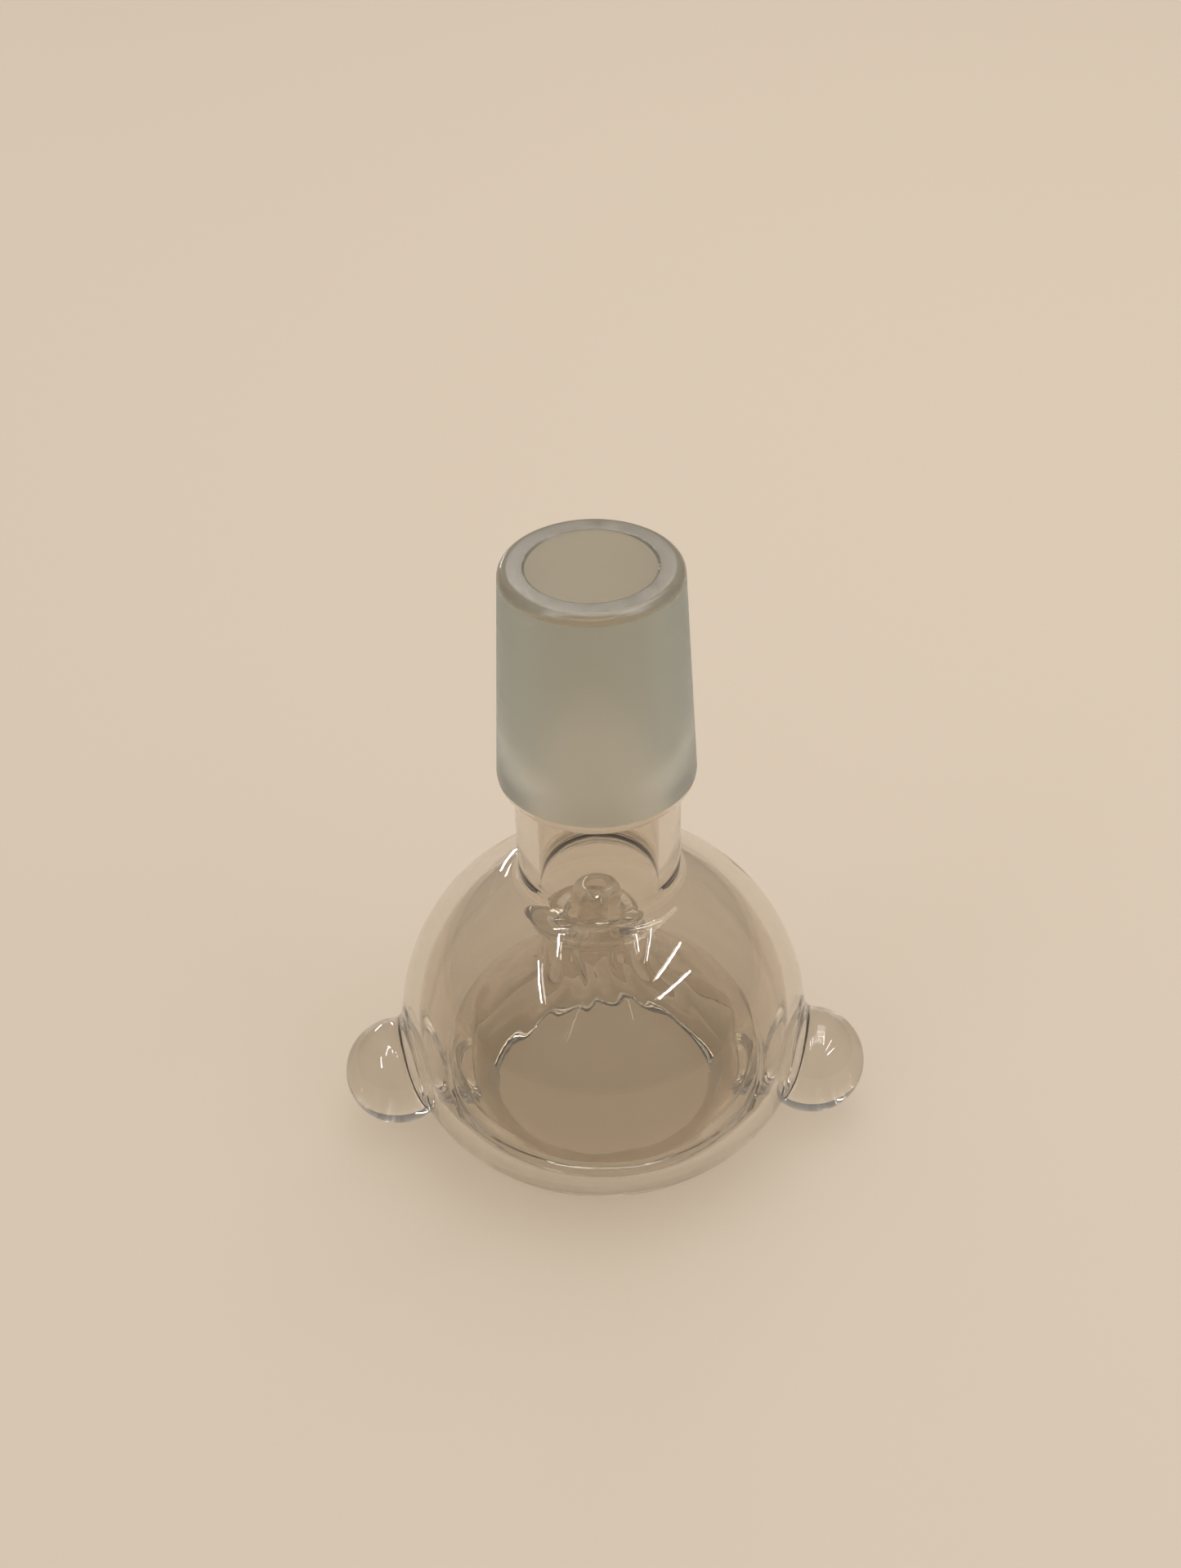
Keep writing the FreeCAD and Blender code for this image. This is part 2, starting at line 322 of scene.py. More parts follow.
# %% [markdown]
# ## Neck and ground joint
# The seal is the ring where neck and bulb were melted together, hollow outside and rounded
# inside. The neck is plain heavy tube. The joint blank starts with a clear rounded shoulder,
# an S of two arcs, and then tapers by one millimetre of diameter in ten, the standard slope of
# a ground joint. A cone primitive has no shoulder, wall or rounded tip, so it is turned too.
# %% Shape the seal, the neck and the joint
mouth_drop = 0.2
mouth_z = seal_z - mouth_drop
mouth_rise = mouth_z - equator_z
mouth_arc = (mouth_rise**2 + bore_r**2 - dome_inner**2) / (2 * (dome_inner - bore_r))
mouth = (bore_r + mouth_arc, mouth_z)
mouth_angle = degrees(acos(mouth[0] / (dome_inner + mouth_arc)))

neck_seal = turned(
    "neck_seal_glass",
    bow(mouth, mouth_arc, 180, 180 + mouth_angle)
    + bow(dome, dome_inner, mouth_angle, seal_angle)
    + bow(seal_centre, seal_fillet, 180 + seal_angle, 180)
    + [(bore_r, seal_z)],
)

neck_tube = turned(
    "neck_tube_glass",
    run((neck_r, seal_z), (neck_r, shoulder_z)) + run((bore_r, shoulder_z), (bore_r, seal_z)),
)

shoulder_height = 2.0
shoulder_arc = 1.5
tip_arc = 0.9
taper = 0.05
joint_z = shoulder_z + shoulder_height
swell = joint_r - neck_r
shoulder_turn = 2 * degrees(atan2(swell, shoulder_height))
hollow_arc = shoulder_height / sin(radians(shoulder_turn)) - shoulder_arc
tip_round_z = tip_z - tip_arc
tip_r = joint_r - taper * (tip_round_z - joint_z)

ground_joint = turned(
    "ground_joint_glass",
    bow((neck_r + hollow_arc, shoulder_z), hollow_arc, 180, 180 - shoulder_turn)
    + bow((joint_r - shoulder_arc, joint_z), shoulder_arc, -shoulder_turn, 0)
    + run((joint_r, joint_z), (tip_r, tip_round_z))
    + bow((tip_r - tip_arc, tip_round_z), tip_arc, 0, 90)
    + bow((bore_r + hole_round, tip_z - hole_round), hole_round, 90, 180)
    + run((bore_r, tip_z - hole_round), (bore_r, shoulder_z)),
)

# %% [markdown]
# ## Marbles: two solid glass grips
# Each marble was gathered as a bead on a rod and pressed against the bulb while both were
# soft. A UV sphere would have its poles in the wrong place, so the ball is turned too, about
# the axis of its weld, with the side that fused to the bulb cut flat. It is then tipped from Z
# to that axis, moved to its place and swung round the bulb, and the move is applied.
# %% Shape the marbles
marble_r = 5.45
marble_out = 0.8
marble_lift = 0.2
marble_turn = 6.5
weld_thickness = 0.55
ball_centre = Vector((bulb_r + marble_out, 0, marble_r + marble_lift))
weld_axis = Vector((waist_r, 0, equator_z)) - ball_centre
weld_start = weld_axis.length - lower_arc - weld_thickness
ball_flat = degrees(asin(weld_start / marble_r))
weld_r = sqrt(marble_r**2 - weld_start**2)


def weld_place(side):
    """The move from a weld's own axis, Z, to its place on one side of the bulb, in mm."""
    swing = 180 + marble_turn if side < 0 else -marble_turn
    tip = Vector((0, 0, 1)).rotation_difference(weld_axis).to_matrix().to_4x4()
    return Matrix.Rotation(radians(swing), 4, "Z") @ Matrix.Translation(ball_centre) @ tip


def put(piece, side):
    """Apply a weld's place to a piece that was made about Z."""
    move = weld_place(side)
    choose(piece)
    piece.matrix_world = Matrix.Translation(move.translation * MM) @ move.to_3x3().to_4x4()
    bpy.ops.object.transform_apply(location=True, rotation=True, scale=True)
    return piece


def marble(name, side):
    """A ball with its flat up, turned about Z and put in its place."""
    ball = bow((0, 0), marble_r, -90, ball_flat)
    return put(turned(name, ball[:-1] + [(weld_r, weld_start), (0, weld_start)]), side)


left_marble = marble("left_marble_glass", -1)
right_marble = marble("right_marble_glass", 1)

# %% [markdown]
# ## Welds: where marble and bulb ran together
# Between each marble and the bulb is a collar of melted glass that leaves the ball smoothly
# and flows out onto the wall. The wall curves more one way than the other, so no single
# outline fits. The weld is first turned as a plain plug whose heights only count the steps
# along it. Each of its points is then set on a curve from the ball's ring to the wall's ring,
# tangent to the glass at both ends.
# %% Find the bulb's wall beside a weld
foot_r = 7.0
SEARCH_DEPTH = 8.0
HALVINGS = 40


def wall_gap(point):
    """How far a point is outside the bulb, in mm, and the wall's direction there."""
    flat = Vector((point.x, point.y, 0))
    below = point.z < equator_z
    centre = flat.normalized() * (waist_r if below else 0) + Vector((0, 0, equator_z))
    out = point - centre
    return out.length - (lower_arc if below else bulb_r), out.normalized()


def on_wall(across, up):
    """The point of the wall that lies over (across, up) on the weld's own plane."""
    move = weld_place(1)
    near, far = 0.0, SEARCH_DEPTH
    for _ in range(HALVINGS):
        middle = (near + far) / 2
        gap, _ = wall_gap(move @ Vector((across, up, middle)))
        near, far = (middle, far) if gap > 0 else (near, middle)
    point = Vector((across, up, near))
    _, out = wall_gap(move @ point)
    return point, move.to_3x3().inverted() @ out


print("from the ball's centre to the wall:", round(on_wall(0, 0)[0].z, 3), "mm")


# %% [markdown]
# The curve is a Bezier: two ends, and a handle at each that follows the glass it leaves. The
# bulb is the same all round, so both welds are worked out on the right and then placed. In
# the plug a count from 0 to 1 runs down the weld's side, and from 1 to 2 across its foot.
# %% Shape the welds
SIDE_STEPS = 14
CAP_STEPS = 8
EDGE_SHARE = 0.008
HANDLE = 0.5
NEAR_AXIS = 1e-3


def weld_point(angle, count):
    """A point of the weld, from the step it is at and the way round it."""
    round_it = Vector((cos(angle), sin(angle), 0))
    if count <= 1:
        start = round_it * weld_r + Vector((0, 0, weld_start))
        off_ball = Vector((0, 0, marble_r)) - round_it * (marble_r * weld_start / weld_r)
        off_ball.normalize()
        end, out = on_wall(*(round_it * foot_r).xy)
        to_wall = (-round_it + out * round_it.dot(out)).normalized()
        reach = (end - start).length * HANDLE
        a, b, c, d = start, start + off_ball * reach, end + to_wall * reach, end
        s = 1 - count
        return a * s**3 + b * 3 * s * s * count + c * 3 * s * count**2 + d * count**3
    return on_wall(*(round_it * foot_r * (2 - count)).xy)[0]


def weld(name, side):
    """A plug whose points are then set on the curves, put in its place."""
    even = [k / SIDE_STEPS for k in range(1, SIDE_STEPS)]
    shares = [0, EDGE_SHARE, *even, 1 - EDGE_SHARE, 1]
    steps = [(weld_r, weld_start + share) for share in shares]
    inwards = [k / CAP_STEPS for k in range(1, CAP_STEPS + 1)]
    cap = [(weld_r * (1 - share), weld_start + 1 + share) for share in inwards]
    plug = turned(name, [(0, weld_start)] + steps + cap)
    for vertex in plug.data.vertices:
        place = vertex.co / MM
        count = place.z - weld_start
        at_pole = place.xy.length < NEAR_AXIS
        if at_pole and count < 1:
            continue  # the middle of the flat that meets the marble
        angle = 0.0 if at_pole else atan2(place.y, place.x)
        vertex.co = weld_point(angle, min(2, max(0, count))) * MM
    return put(plug, side)


left_weld = weld("left_weld_glass", -1)
right_weld = weld("right_weld_glass", 1)

# %% [markdown]
# ## Cutting the welds' footprints into the wall
# Where a weld covers the bulb there is no glass surface any more, so the wall's faces there
# must end exactly at the weld's edge. A tube on the weld's axis is joined to the wall and
# Intersect (Knife) draws its circle on the outer face, then the tube is deleted again. A
# Boolean would take the glass away instead of only drawing the line.
# %% Draw the footprints
FOOT_NEAR, FOOT_FAR = 1.5, 4.2
TUBE_GAP = 0.01
CUT_GAP = 1e-6


def weld_view(side):
    """The move that brings a place on one side back to its weld's own axis."""
    return weld_place(side).inverted()


def cut_footprint(piece, side):
    """Cut the circle of a weld's foot into a piece's outer face."""
    clear_selection()
    bpy.ops.mesh.primitive_cylinder_add(
        vertices=SPIN_STEPS,
        radius=foot_r * MM,
        depth=(FOOT_FAR - FOOT_NEAR) * MM,
        end_fill_type="NOTHING",
        location=(0, 0, (FOOT_NEAR + FOOT_FAR) / 2 * MM),
    )
    bpy.ops.object.transform_apply(location=True, rotation=False, scale=False)
    tube = put(bpy.context.object, side)
    faces = len(piece.data.polygons)
    choose(piece)
    tube.select_set(True)
    bpy.ops.object.join()
    bpy.ops.object.mode_set(mode="EDIT")
    bpy.ops.mesh.select_mode(type="FACE")
    bpy.ops.mesh.select_all(action="DESELECT")
    bpy.ops.object.mode_set(mode="OBJECT")
    for polygon in piece.data.polygons[faces:]:
        polygon.select = True
    bpy.ops.object.mode_set(mode="EDIT")
    bpy.ops.mesh.intersect(mode="SELECT_UNSELECT", separate_mode="CUT", solver="EXACT")
    bpy.ops.mesh.select_all(action="DESELECT")
    bpy.ops.object.mode_set(mode="OBJECT")
    back = weld_view(side)
    turn = back.to_3x3()
    for polygon in piece.data.polygons:
        at_radius = abs((back @ (polygon.center / MM)).xy.length - foot_r) < TUBE_GAP
        polygon.select = at_radius and abs((turn @ polygon.normal).z) < TUBE_GAP
    bpy.ops.object.mode_set(mode="EDIT")
    bpy.ops.mesh.delete(type="FACE")
    bpy.ops.mesh.select_all(action="SELECT")
    bpy.ops.mesh.remove_doubles(threshold=CUT_GAP)
    bpy.ops.object.mode_set(mode="OBJECT")
    print(f"{piece.name}: {len(piece.data.polygons) - faces} more faces along the circle")


for side in (-1, 1):
    cut_footprint(outer_bulb, side)
    cut_footprint(cup_rim, side)

# %% [markdown]
# ## Which faces are glass and which are fused
# Where two pieces were melted together light sees no surface, so those faces must not bend
# it. Every piece gets two slots: its glass, and a fused finish for the faces it shares with a
# neighbour. They are found by place and normal: flat rings at the shared levels, the slanted
# ring under the neck seal, and the footprints of the welds. The joint has two slots more, for
# its ground taper and its satin tip. This comes before the glass is bent by hand, while every
# face is still where its formula puts it.
# %% Sort the faces
GLASS, FUSED, GROUND, SATIN = 0, 1, 2, 3
LEVEL_GAP = 0.004
WALL_TOUCH = 0.02
LEVEL_NORMAL = 0.99
ALONG_NORMAL = 0.05
WALL_NORMAL = 0.9


def sort_faces(piece, fused, ground=None, satin=None):
    """Set each face's slot from tests of its middle, in mm, and its normal."""
    counts = [0, 0, 0, 0]
    for polygon in piece.data.polygons:
        middle = polygon.center / MM
        kind = FUSED if fused(middle, polygon.normal) else GLASS
        if ground and kind == GLASS and ground(middle, polygon.normal):
            kind = GROUND
        elif satin and kind == GLASS and satin(middle, polygon.normal):
            kind = SATIN
        polygon.material_index = kind
        counts[kind] += 1
    print(f"{piece.name}: glass, fused, ground and satin faces {counts}")


def at_level(*heights):
    """A test for flat faces at any of these heights."""

    def test(middle, normal):
        gap = min(abs(middle.z - z) for z in heights)
        return abs(normal.z) > LEVEL_NORMAL and gap < LEVEL_GAP

    return test


def in_seal(middle, normal):
    """A test for the slanted ring where the dome's wall ends in the neck's seal."""
    out = middle - Vector((0, 0, equator_z))
    slant = radians(seal_angle)
    gap = out.z * cos(slant) - middle.xy.length * sin(slant)
    return abs(gap) < LEVEL_GAP and abs(out.normalized().dot(normal)) < ALONG_NORMAL


def under_weld(middle, normal):
    """A test for the outer faces of the wall that either weld's foot covers."""
    for side in (-1, 1):
        back = weld_view(side)
        seen = back @ middle
        faces_weld = (back.to_3x3() @ normal).z < 0
        if seen.xy.length < foot_r and 0 < seen.z < FOOT_FAR and faces_weld:
            return True
    return False


def of_weld(side):
    """A test for the two faces of a weld: on its marble and on the bulb."""

    def test(middle, normal):
        seen = weld_view(side) @ middle
        flat = abs(seen.z - weld_start) < LEVEL_GAP and seen.xy.length < weld_r
        gap, out = wall_gap(middle)
        return flat or (abs(gap) < WALL_TOUCH and normal.dot(out) < -WALL_NORMAL)

    return test


levels = at_level(rim_z, throat_z, collar_z, seal_z, shoulder_z)


def in_throat(middle, normal):
    """A test for the collar's two shared rings, not its bead's flat top outside them."""
    shared_r = spout_foot_r if middle.z > (throat_z + collar_z) / 2 else throat_r
    return levels(middle, normal) and middle.xy.length < shared_r


taper_in = bore_r + 1
tip_in = bore_r + hole_round
sort_faces(outer_bulb, lambda m, n: levels(m, n) or in_seal(m, n) or under_weld(m, n))
sort_faces(cup_rim, lambda m, n: levels(m, n) or under_weld(m, n))
sort_faces(neck_seal, lambda m, n: levels(m, n) or in_seal(m, n))
sort_faces(neck_tube, levels)
sort_faces(inner_cup, levels)
sort_faces(throat_collar, in_throat)
sort_faces(outlet_nipple, levels)
sort_faces(left_marble, of_weld(-1))
sort_faces(right_marble, of_weld(1))
sort_faces(left_weld, of_weld(-1))
sort_faces(right_weld, of_weld(1))
sort_faces(
    ground_joint,
    levels,
    lambda m, n: joint_z < m.z < tip_round_z and m.xy.length > taper_in,
    lambda m, n: m.z > tip_round_z and m.xy.length > tip_in,
)

# %% [markdown]
# ## Handmade, so not quite true
# The throat was pinched by hand, so it leans a little to one side and its collar is oval.
# The collar's bead was pushed further that way than the spout on it, which came part of the
# way back. The glass under the collar was drawn in as it was pinched, which left shallow
# flutes down the throat, and the cup keeps soft dents from the rod that pushed it in. A
# lattice could bend the shape too, but not wrinkle it, so each point is moved by a sum of
# small moves. Every one eases in with height and depends only on place, so that the pieces
# that share a ring stay joined and the cup's rim stays true.
# %% Lean the throat and dent the cup
lean = -0.8
lean_from, lean_to = 14.0, 26.0
collar_push = -0.9
spout_back = 0.45
squeeze = 0.13
squeeze_ease = 2.0
dent_depth = 0.2
dent_size = 5.5
dent_above_rim = 3.0
dent_below_throat = 4.0
flutes = 9
flute_depth = 0.13
flute_sway = 3.0
sway_size = 4.0
flute_low, flute_full, flute_end = throat_z - 10, throat_z - 4, throat_z - 1
push_from, push_end = throat_z + 0.4, collar_z + 0.3
back_from, back_full = bead[1] + 0.5, nipple_z - 1.5


def ease(value, low, high):
    """A share that goes smoothly from 0 at the low value to 1 at the high one."""
    share = min(1, max(0, (value - low) / (high - low)))
    return share * share * (3 - 2 * share)


def bump(value, low, full, end):
    """A share that eases in up to a full value and out again by the end."""
    return ease(value, low, full) * (1 - ease(value, full, end))


def dent_and_flute(place):
    """How far outwards a point of the cup or the throat goes, in mm."""
    near_rim = ease(place.z, rim_z, rim_z + dent_above_rim)
    near_throat = ease(place.z, throat_z - dent_below_throat, throat_z)
    dent = noise.noise(place / dent_size) * dent_depth * near_rim * (1 - near_throat)
    drawn = ease(place.z, flute_low, flute_full) * (1 - ease(place.z, flute_end, throat_z))
    sway = flute_sway * noise.noise(place / sway_size)
    return dent + sin(flutes * atan2(place.y, place.x) + sway) * flute_depth * drawn


def by_hand(place):
    """Where a point of the throat or the cup ends up, in mm."""
    ring = Vector((place.x, place.y, 0))
    moved = place + ring.normalized() * dent_and_flute(place)
    moved.y *= 1 - squeeze * ease(place.z, throat_z - squeeze_ease, throat_z + squeeze_ease)
    moved.x += lean * ease(place.z, lean_from, lean_to)
    moved.x += collar_push * bump(place.z, push_from, bead[1], push_end)
    moved.x += spout_back * ease(place.z, back_from, back_full)
    return moved


for piece in (inner_cup, throat_collar, outlet_nipple):
    farthest = 0
    for vertex in piece.data.vertices:
        place = vertex.co / MM
        moved = by_hand(place)
        farthest = max(farthest, (moved - place).length)
        vertex.co = moved * MM
    print(f"{piece.name} moved by up to {farthest:.2f} mm")

# %% [markdown]
# Smooth shading by angle keeps the fused rings flat and turns the rest into unbroken
# curves. A Subdivision Surface would round the rings' edges and open gaps between pieces.
# %% Smooth the glass
pieces = {
    "outer_bulb": outer_bulb,
    "cup_rim": cup_rim,
    "inner_cup": inner_cup,
    "throat_collar": throat_collar,
    "outlet_nipple": outlet_nipple,
    "neck_seal": neck_seal,
    "neck_tube": neck_tube,
    "ground_joint": ground_joint,
    "left_marble": left_marble,
    "right_marble": right_marble,
    "left_marble_weld": left_weld,
    "right_marble_weld": right_weld,
}
SHARP = radians(40)
for piece in pieces.values():
    choose(piece)
    bpy.ops.object.shade_smooth_by_angle(angle=SHARP)
print(f"smoothed {len(pieces)} pieces")

# %% [markdown]
# ## Tools for the finishes
# A colour is written as the hex code a paint program shows, which is sRGB, and Blender wants
# linear light, so one function turns one into the other. Another adds a node, sets its
# values and makes its links, which keeps each finish short enough to read in one go.
# %% Colour and node helpers
def colour(code):
    """Linear RGBA of an sRGB hex code such as "#C8B8A0"."""
    parts = [int(code[k : k + 2], 16) / 255 for k in (1, 3, 5)]
    linear = [p / 12.92 if p <= 0.04045 else ((p + 0.055) / 1.055) ** 2.4 for p in parts]
    return (*linear, 1)


def add(material, kind, values=None, links=None, **settings):
    """Add a node, with settings, values for its sockets and links from other nodes."""
    tree = material.node_tree
    made = tree.nodes.new(kind)
    for key, value in settings.items():
        setattr(made, key, value)
    for key, value in (values or {}).items():
        made.inputs[key].default_value = value
    for key, source in (links or {}).items():
        tree.links.new(source, made.inputs[key])
    return made


def new_finish(name):
    finish = bpy.data.materials.new(name)
    finish.use_nodes = True
    finish.node_tree.nodes.clear()
    return finish


# %% [markdown]
# ## Flame-polished borosilicate glass
# Borosilicate, the lampworker's hard glass, has an IOR of 1.474. The flame melts its skin
# to a perfect polish, so it has no roughness at all, but the skin is never quite flat: it
# keeps ripples a few millimetres long from the tools and the turning, which make the light
# behind it wander. Finer striae run along the tube, where its skin was drawn out. The faint
# warm grey is the smoke of long use.
#
# A lamp's light would need many lucky bounces to find its way through so much glass to the
# table. So every glass finish ends in a switch: shadow rays meet a Transparent shader with
# the tint that the glass would give them, and all the rest meet the real glass.
# %% End a glass finish
def glass_output(finish, shader, shade):
    """End a glass finish, letting a lamp's light pass straight through it."""
    path = add(finish, "ShaderNodeLightPath")
    clear = add(finish, "ShaderNodeBsdfTransparent", {"Color": shade})
    both = add(
        finish,
        "ShaderNodeMixShader",
        links={0: path.outputs["Is Shadow Ray"], 1: shader.outputs[0], 2: clear.outputs[0]},
    )
    add(finish, "ShaderNodeOutputMaterial", links={"Surface": both.outputs[0]})
    print(f"{finish.name}: {len(finish.node_tree.nodes)} nodes")


# %% [markdown]
# The ripples and the striae are two bumps, one on the other. Their noise has the size of the
# real marks, and the striae's is squeezed along Z by a Mapping node, which draws them out.
# %% Make the polished finish
GLASS_IOR = 1.474
RIPPLE = 4.5 * MM
STRIA = 0.9 * MM
DRAWN_OUT = 0.12

polished = new_finish("flame_polished_borosilicate")
place = add(polished, "ShaderNodeTexCoord").outputs["Object"]
ripple = add(
    polished,
    "ShaderNodeTexNoise",
    {"Scale": 1 / RIPPLE, "Detail": 1.0, "Roughness": 0.4},
    {"Vector": place},
)
ripple_bump = add(
    polished,
    "ShaderNodeBump",
    {"Strength": 0.35, "Distance": 0.05 * MM},
    {"Height": ripple.outputs["Fac"]},
)
drawn_out = add(
    polished,
    "ShaderNodeMapping",
    {"Scale": (1.0, 1.0, DRAWN_OUT)},
    {"Vector": place},
)
stria = add(
    polished,
    "ShaderNodeTexNoise",
    {"Scale": 1 / STRIA, "Detail": 2.0},
    {"Vector": drawn_out.outputs[0]},
)
skin_bump = add(
    polished,
    "ShaderNodeBump",
    {"Strength": 0.25, "Distance": 0.008 * MM},
    {"Height": stria.outputs["Fac"], "Normal": ripple_bump.outputs["Normal"]},
)
polished_skin = add(
    polished,
    "ShaderNodeBsdfPrincipled",
    {
        "Base Color": colour("#E9E4DC"),
        "Roughness": 0.0,
        "IOR": GLASS_IOR,
        "Transmission Weight": 1.0,
    },
    {"Normal": skin_bump.outputs["Normal"]},
)
glass_output(polished, polished_skin, colour("#FBFAF8"))

# %% [markdown]
# ## Inside fused glass
# The faces where two pieces melted into each other have no surface left. A Transparent
# shader lets every ray straight on, as solid glass would.
# %% Make the fused finish
fused = new_finish("fused_glass_inside")
inside = add(fused, "ShaderNodeBsdfTransparent", {"Color": colour("#FFFFFF")})
add(fused, "ShaderNodeOutputMaterial", links={"Surface": inside.outputs[0]})
print(f"{fused.name}: {len(fused.node_tree.nodes)} nodes")

# %% [markdown]
# ## Ground glass
# The taper was ground true with wet silicon carbide grit, turning on its axis. The grit
# leaves a matt, even frost of pits far too fine to see, which is roughness, and faint rings
# where the tool dwelt. The rings are drawn about three times too coarse so that they show.
# %% Make the ground finish
GRIT = 0.25 * MM
RING = 1.3 * MM
TURNED = 0.12

ground = new_finish("ground_borosilicate")
place = add(ground, "ShaderNodeTexCoord").outputs["Object"]
flat_rings = add(
    ground,
    "ShaderNodeMapping",
    {"Scale": (TURNED, TURNED, 1.0)},
    {"Vector": place},
)
rings = add(
    ground,
    "ShaderNodeTexNoise",
    {"Scale": 1 / RING, "Detail": 3.0, "Roughness": 0.6},
    {"Vector": flat_rings.outputs[0]},
)
grit = add(
    ground,
    "ShaderNodeTexNoise",
    {"Scale": 1 / GRIT, "Detail": 1.0},
    {"Vector": place},
)
frost = add(
    ground,
    "ShaderNodeMapRange",
    {"From Min": 0.3, "From Max": 0.7, "To Min": 0.44, "To Max": 0.56},
    {"Value": rings.outputs["Fac"]},
)
grit_bump = add(
    ground,
    "ShaderNodeBump",
    {"Strength": 0.3, "Distance": 0.02 * MM},
    {"Height": grit.outputs["Fac"]},
)
ground_skin = add(
    ground,
    "ShaderNodeBsdfPrincipled",
    {
        "Base Color": colour("#CFD3C9"),
        "IOR": GLASS_IOR,
        "Transmission Weight": 0.76,
    },
    {"Roughness": frost.outputs[0], "Normal": grit_bump.outputs["Normal"]},
)
glass_output(ground, ground_skin, colour("#E6E5E0"))

# %% [markdown]
# ## Satin glass on the tip
# The tip was ground flat first and then only just touched by the flame, which closes the
# smallest pits. It is left with a satin skin: clearer than the taper, but no longer a mirror.
# Giving the tip the taper's finish would make it far too white, because it faces the light.
# %% Make the satin finish
satin = new_finish("satin_borosilicate")
place = add(satin, "ShaderNodeTexCoord").outputs["Object"]
pits = add(
    satin,
    "ShaderNodeTexNoise",
    {"Scale": 1 / RING, "Detail": 3.0, "Roughness": 0.6},
    {"Vector": place},
)
sheen = add(
    satin,
    "ShaderNodeMapRange",
    {"From Min": 0.3, "From Max": 0.7, "To Min": 0.15, "To Max": 0.27},
    {"Value": pits.outputs["Fac"]},
)
pit_bump = add(
    satin,
    "ShaderNodeBump",
    {"Strength": 0.2, "Distance": 0.02 * MM},
    {"Height": pits.outputs["Fac"]},
)
satin_skin = add(
    satin,
    "ShaderNodeBsdfPrincipled",
    {
        "Base Color": colour("#D4C9B4"),
        "IOR": GLASS_IOR,
        "Transmission Weight": 0.88,
    },
    {"Roughness": sheen.outputs[0], "Normal": pit_bump.outputs["Normal"]},
)
glass_output(satin, satin_skin, colour("#EEECE7"))

# %% [markdown]
# The finishes go on in the order of the slots that the faces were sorted into.
# %% Put the finishes on the pieces
finishes = (polished, fused, ground, satin)
for name, piece in pieces.items():
    for finish in finishes if name == "ground_joint" else (polished, fused):
        piece.data.materials.append(finish)
print("finishes:", [m.name for m in finishes])

# %% [markdown]
# ## Standing for the design's nodes
# Each piece stands in for the design's node named by its key, and that node is hidden. The
# object has no moving parts, so all of them ride on its one body.
# %% Join the pieces to the design
for name, piece in pieces.items():
    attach(piece, "root")
    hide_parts(name)
print(f"{len(pieces)} pieces ride on root")

# %% [markdown]
# ## Table
# Glass shows what is around it more than itself, so a plain pale floor gives it its body. It
# is cut into smaller faces, because the rim stands right on it, and a ray meets a face of one
# metre more exactly than one of four.
# %% Lay the floor
clear_selection()
bpy.ops.mesh.primitive_plane_add(size=4, location=(0, 0, 0))
floor = bpy.context.object
floor.name = "floor"
bpy.ops.object.mode_set(mode="EDIT")
bpy.ops.mesh.subdivide(number_cuts=3)
bpy.ops.object.mode_set(mode="OBJECT")
table = new_finish("matt_table")
table_skin = add(
    table,
    "ShaderNodeBsdfPrincipled",
    {"Base Color": colour("#C2B4A3"), "Roughness": 0.7},
)
add(table, "ShaderNodeOutputMaterial", links={"Surface": table_skin.outputs[0]})
floor.data.materials.append(table)
print("floor in m:", [round(side, 2) for side in floor.dimensions])

# %% [markdown]
# ## Lamps
# A large soft lamp overhead lights the floor. Narrow lamps far off put the bright streaks on
# the bulb that tell the eye it is glass. A streak falls where the surface faces halfway
# between the eye and its lamp, so each lamp is given by the two directions it reaches
# between, and stands at the same distance as the others.
# %% Make lamps
LAMP_RANGE = 1.0
TUBE = 0.016
BAR = 0.007


def direction(azimuth, elevation):
    """A unit vector from an azimuth, 0 at the front and 90 at the right, and a height."""
    a, e = radians(azimuth), radians(elevation)
    return Vector((sin(a) * cos(e), -cos(a) * cos(e), sin(e)))


def lamp(name, where, size, power, tint="#FFFFFF", along=(0, 0, 1)):
    """A rectangular lamp that looks at the object, its height lying along a direction."""
    data = bpy.data.lights.new(name, "AREA")
    data.shape = "RECTANGLE"
    data.size, data.size_y = size
    data.energy = power
    data.color = colour(tint)[:3]
    light = bpy.data.objects.new(name, data)
    bpy.context.collection.objects.link(light)
    back = where.normalized()
    across = Vector(along).cross(back).normalized()
    axes = Matrix((across, back.cross(across), back)).transposed()
    light.location = where + Vector((0, 0, equator_z * MM))
    light.rotation_euler = axes.to_euler()
    return light


def tube_lamp(name, first, last, power=1.0, width=TUBE):
    """A long thin lamp that reaches from one direction to another."""
    start, end = direction(*first) * LAMP_RANGE, direction(*last) * LAMP_RANGE
    size = (width, (end - start).length)
    return lamp(name, (start + end) / 2, size, power, along=end - start)


# %% [markdown]
# The streaks come from two pairs of tube lamps at the sides and one low behind, the glints
# on whatever faces straight up from two short ones at the back, and the thin crossed lines
# from the glazing bars of a window.
# %% Hang the lamps
lamp("soft_overhead", Vector((0.1, 0.35, 0.95)), (0.7, 0.7), 5.4, "#FFF6EA")
tube_lamp("tube_right_low", (44, 43), (77, 40))
tube_lamp("tube_right_high", (52, 52), (93, 49))
tube_lamp("tube_left_high", (-120, 68), (-65, 64))
tube_lamp("tube_left_low", (-74, 55), (-47, 41))
tube_lamp("tube_behind", (-149, 12), (-160, 2), 0.5)
tube_lamp("glint_left", (-176, 37), (-177, 47), 0.35)
tube_lamp("glint_right", (168, 36), (179, 41), 0.35)
tube_lamp("bar_top", (129, 71), (125, 56), 0.4, BAR)
tube_lamp("bar_middle", (103, 72), (103, 63), 0.4, BAR)
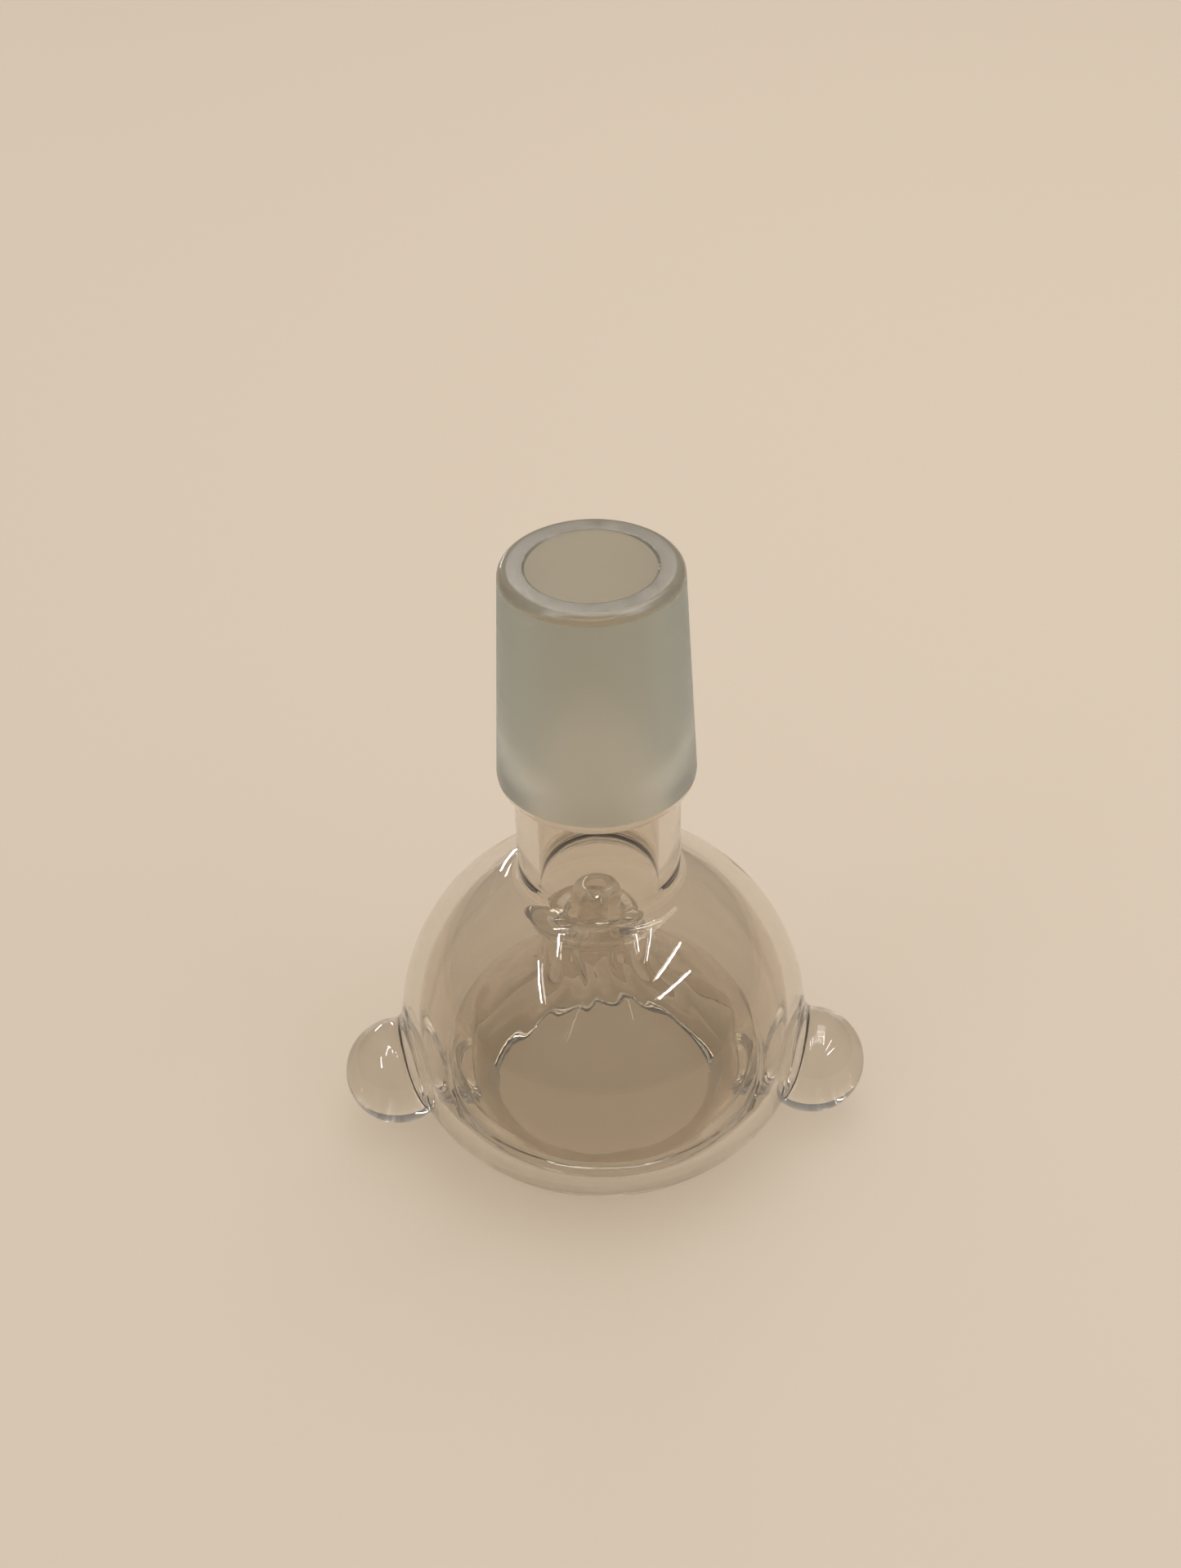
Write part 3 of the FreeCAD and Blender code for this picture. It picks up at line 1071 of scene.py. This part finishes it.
tube_lamp("bar_right", (122, 60), (59, 62), 0.5, BAR)
tube_lamp("bar_left", (97, 73), (62, 68), 0.3, BAR)
print(f"{len(bpy.data.lights)} lamps")

# %% [markdown]
# ## Room
# The room is a soft white, brighter above than at the horizon, so that the edges of the
# glass, which look sideways, come out darker than its middle. Its direction comes from
# Texture Coordinate, whose height is mapped to a strength.
# %% Brighten the room
world = bpy.data.worlds.new("soft_room")
bpy.context.scene.world = world
world.use_nodes = True
world.node_tree.nodes.clear()
sky = add(world, "ShaderNodeTexCoord").outputs["Generated"]
height = add(world, "ShaderNodeSeparateXYZ", links={0: sky})
room = add(
    world,
    "ShaderNodeMapRange",
    {"From Min": -0.1, "From Max": 0.9, "To Min": 0.2, "To Max": 0.36},
    {"Value": height.outputs["Z"]},
)
glow = add(
    world,
    "ShaderNodeBackground",
    {"Color": colour("#FFFDFA")},
    {"Strength": room.outputs[0]},
)
add(world, "ShaderNodeOutputWorld", links={"Surface": glow.outputs[0]})
print(f"{world.name}: {len(world.node_tree.nodes)} nodes")

# %% [markdown]
# ## Camera
# The eye is close, a hand's length in front and as much above, as when one looks down at a
# small thing on a table. So the joint, which is nearer, looks larger beside the bulb than it
# is. The camera is aimed by a direction, with a slight roll. Light crosses a dozen walls
# here, so it is allowed many bounces, and the Standard view keeps the colours as chosen.
# %% Set up the camera
camera_data = bpy.data.cameras.new("camera")
camera_data.sensor_width = 36.0
camera_data.lens = 48.81
camera_data.clip_start = 0.01
camera = bpy.data.objects.new("camera", camera_data)
bpy.context.collection.objects.link(camera)
pitch, yaw, roll = -0.67, -0.004, 0.03
ahead = Vector((sin(yaw) * cos(pitch), cos(yaw) * cos(pitch), sin(pitch)))
eye_front, eye_height = 157.26, 165.44
camera.location = (0, -eye_front * MM, eye_height * MM)
camera.rotation_euler = (
    ahead.to_track_quat("-Z", "Y").to_matrix() @ Matrix.Rotation(-roll, 3, "Z")
).to_euler()
bpy.context.scene.camera = camera
print("camera looks down by", round(degrees(-pitch), 1), "degrees")

scene = bpy.context.scene
scene.view_settings.view_transform = "Standard"
scene.cycles.transparent_max_bounces = 48
scene.cycles.max_bounces = 24
scene.cycles.transmission_bounces = 24
scene.cycles.glossy_bounces = 8
scene.cycles.caustics_reflective = False
scene.cycles.caustics_refractive = False
